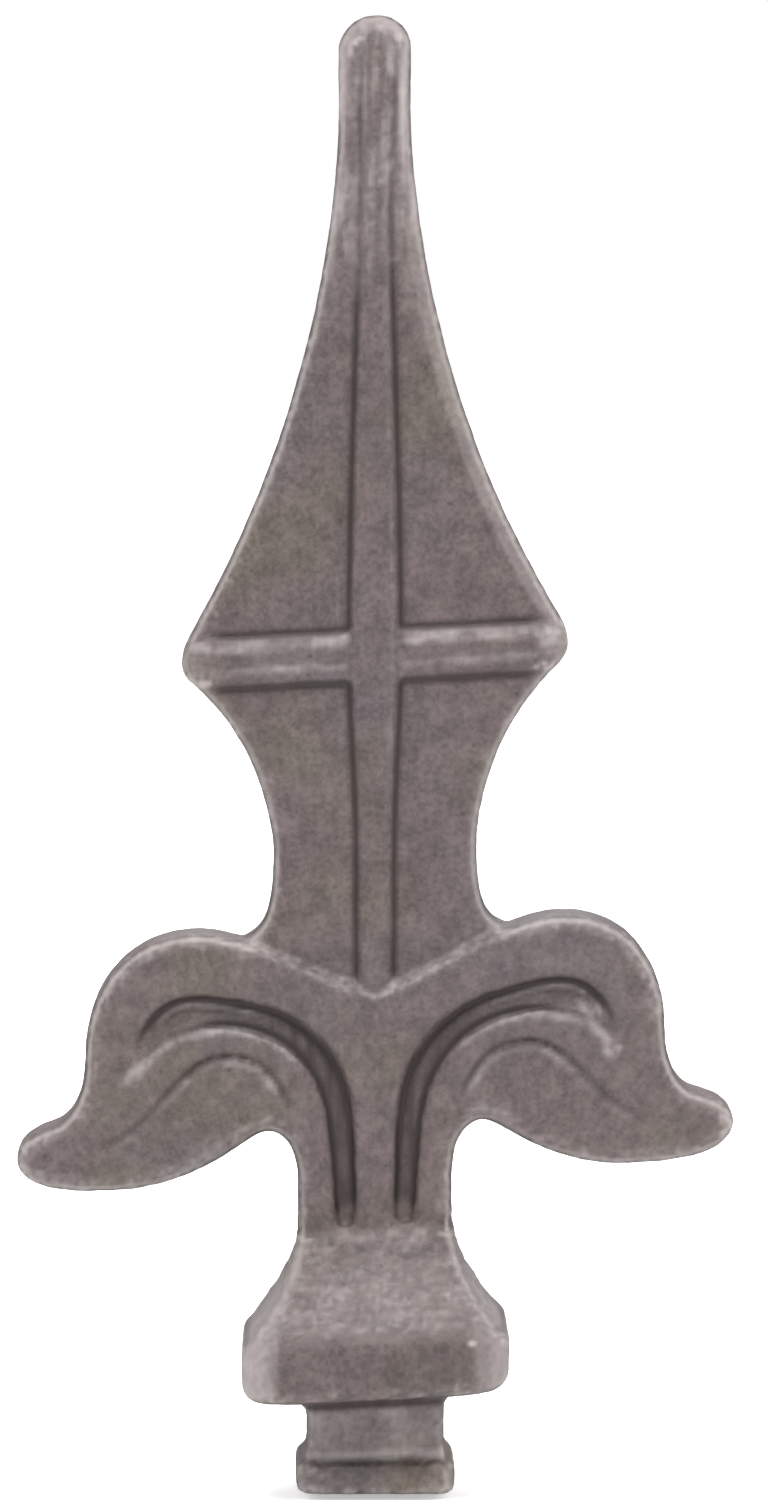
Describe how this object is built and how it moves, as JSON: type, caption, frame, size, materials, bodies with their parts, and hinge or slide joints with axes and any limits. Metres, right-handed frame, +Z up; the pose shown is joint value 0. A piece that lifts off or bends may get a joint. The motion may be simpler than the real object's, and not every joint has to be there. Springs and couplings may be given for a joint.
{
  "type": "fence spear point",
  "caption": "Cast iron spear finial with a flared blade, cross rib, curled leaves, square collar and a beaded stub that plugs into a square tube.",
  "frame": {"origin": "middle of the flat end of the stub, where the casting is set into the picket", "axes": "+Z up from the stub to the spear's tip, +X to the right across the ornamented face, -Y out of the face towards the viewer"},
  "size_m": [0.0718, 0.0266, 0.1473],
  "materials": {
    "cast_iron": "bare sand-cast iron, dull grey brown with a thin film of rust in the hollows"
  },
  "bodies": {
    "root": {"spear_point_casting": "cast_iron"}
  },
  "joints": []
}
